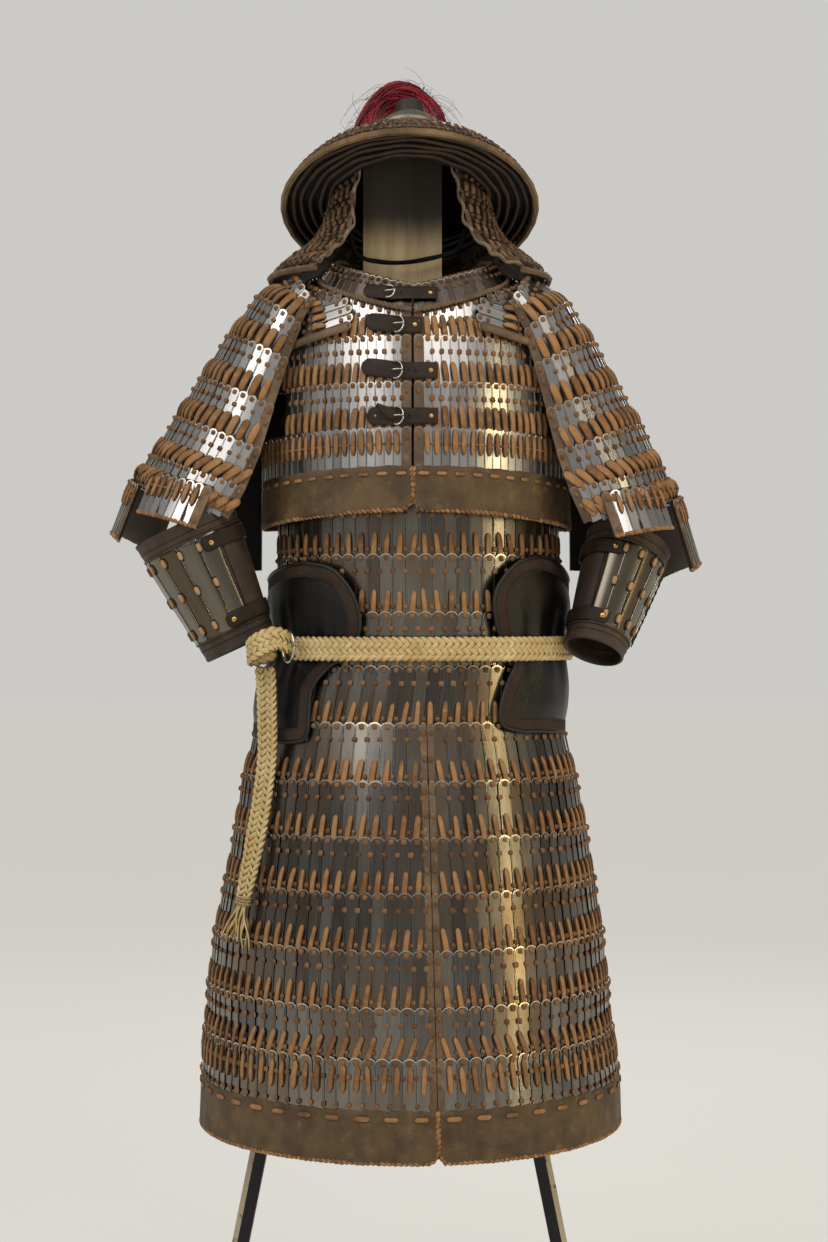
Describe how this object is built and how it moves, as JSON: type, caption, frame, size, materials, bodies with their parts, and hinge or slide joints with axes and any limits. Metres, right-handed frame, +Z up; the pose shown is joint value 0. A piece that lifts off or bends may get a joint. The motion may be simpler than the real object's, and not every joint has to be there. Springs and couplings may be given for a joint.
{
  "type": "lamellar armour on a display stand",
  "caption": "Full suit of laced steel plate armour with a wide helmet, shoulder guards, vambraces, long slit coat, leather waist guard and rope belt, on a wooden stand.",
  "frame": {"origin": "middle of the bounding box's underside, on the floor under the stand", "axes": "+Z up the stand, front of the suit towards -Y, the suit's right-hand side as seen from the front towards +X"},
  "size_m": [0.8669, 0.5474, 1.916],
  "materials": {
    "plates": "steel plates with a worn grey-brown patina, laced with tan leather",
    "bright_plates": "polished steel plates laced with tan leather",
    "hem_leather": "waxed brown nubuck, whip-stitched edge",
    "strap_leather": "dark brown strap leather",
    "black_leather": "soft black grained leather with piped edge",
    "buckle_steel": "polished steel wire",
    "rope": "plaited straw-coloured rope",
    "hair": "bundled red hair",
    "dark_steel": "dark steel",
    "cord_black": "flat black ribbon",
    "plywood": "bare pale plywood",
    "black_board": "plywood painted black"
  },
  "bodies": {
    "root": {"helmet_bowl": "plates", "helmet_rim": "hem_leather", "helmet_crown": "bright_plates", "helmet_finial": "dark_steel", "plume": "hair", "chin_strap": "cord_black", "aventail": "plates", "aventail_hem": "hem_leather", "collar": "plates", "vest_front_left": "bright_plates", "vest_front_right": "bright_plates", "vest_back": "bright_plates", "vest_yoke_left": "bright_plates", "vest_yoke_right": "bright_plates", "vest_hem_left": "hem_leather", "vest_hem_right": "hem_leather", "vest_hem_back": "hem_leather", "strap_1": "strap_leather", "strap_2": "strap_leather", "strap_3": "strap_leather", "strap_4": "strap_leather", "buckle_1": "buckle_steel", "buckle_2": "buckle_steel", "buckle_3": "buckle_steel", "buckle_4": "buckle_steel", "shoulder_guard_left": "bright_plates", "shoulder_guard_right": "bright_plates", "shoulder_guard_left_flap_front": "bright_plates", "shoulder_guard_left_flap_side": "bright_plates", "shoulder_guard_left_flap_back": "bright_plates", "shoulder_guard_right_flap_front": "bright_plates", "shoulder_guard_right_flap_side": "bright_plates", "shoulder_guard_right_flap_back": "bright_plates", "vambrace_left": "bright_plates", "vambrace_left_cuff": "hem_leather", "vambrace_left_top_band": "hem_leather", "vambrace_left_strap": "strap_leather", "vambrace_right": "bright_plates", "vambrace_right_cuff": "hem_leather", "vambrace_right_top_band": "hem_leather", "vambrace_right_strap": "strap_leather", "coat_waist": "plates", "coat_strap_left": "strap_leather", "coat_strap_right": "strap_leather", "skirt_left": "plates", "skirt_right": "plates", "skirt_back": "plates", "skirt_hem_left": "hem_leather", "skirt_hem_right": "hem_leather", "skirt_hem_back": "hem_leather", "waist_guard": "black_leather", "belt": "rope", "belt_ring": "buckle_steel", "belt_knot": "rope", "belt_tail": "rope", "belt_tassel": "rope", "stand_board": "plywood", "stand_arms": "black_board", "stand_leg_left": "black_board", "stand_leg_right": "black_board"}
  },
  "joints": []
}
